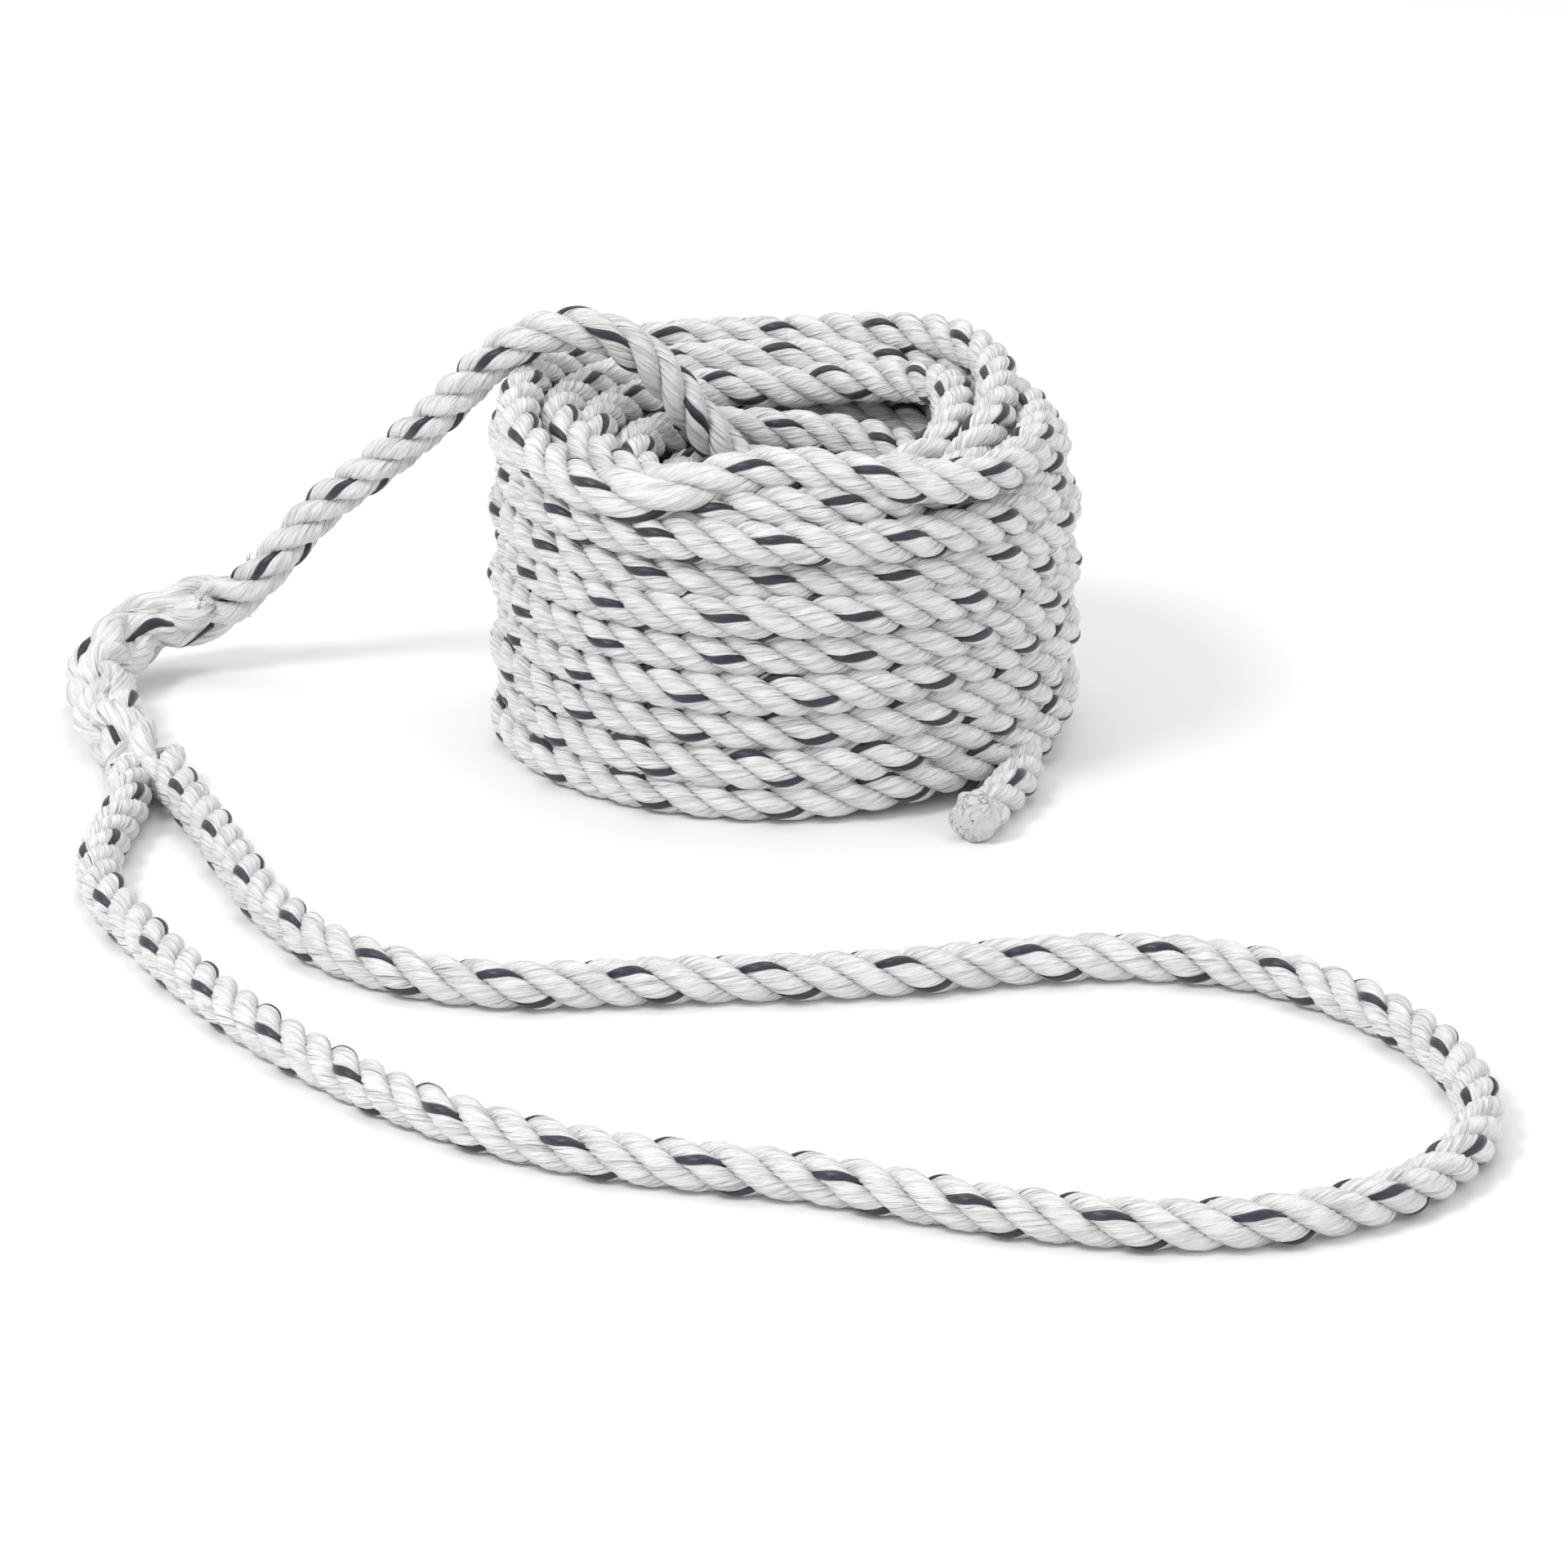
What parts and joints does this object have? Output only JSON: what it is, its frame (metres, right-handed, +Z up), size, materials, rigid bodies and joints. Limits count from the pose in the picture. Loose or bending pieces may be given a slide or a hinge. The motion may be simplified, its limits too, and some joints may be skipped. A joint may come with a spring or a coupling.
{
  "type": "coiled dock line",
  "caption": "Three-strand laid dock line wound into a squat round coil, with a leg over its rim to a large spliced eye on the floor and a heat-sealed bitter end.",
  "frame": {"origin": "on the coil's axis, at the floor that the coil stands on", "axes": "+Z up along the coil's axis; the eye lies on the floor towards -Y; +X to the right when the eye is nearest"},
  "size_m": [0.2867, 0.3355, 0.0899],
  "materials": {
    "white_rope": "satin white filament yarn",
    "tracer_yarn": "satin navy filament yarn",
    "melted_nylon": "glossy heat-sealed"
  },
  "bodies": {
    "root": {"coil": "white_rope", "eye_loop": "white_rope", "eye_splice": "white_rope", "leg": "white_rope", "tail": "white_rope", "melted_end": "melted_nylon"}
  },
  "joints": []
}
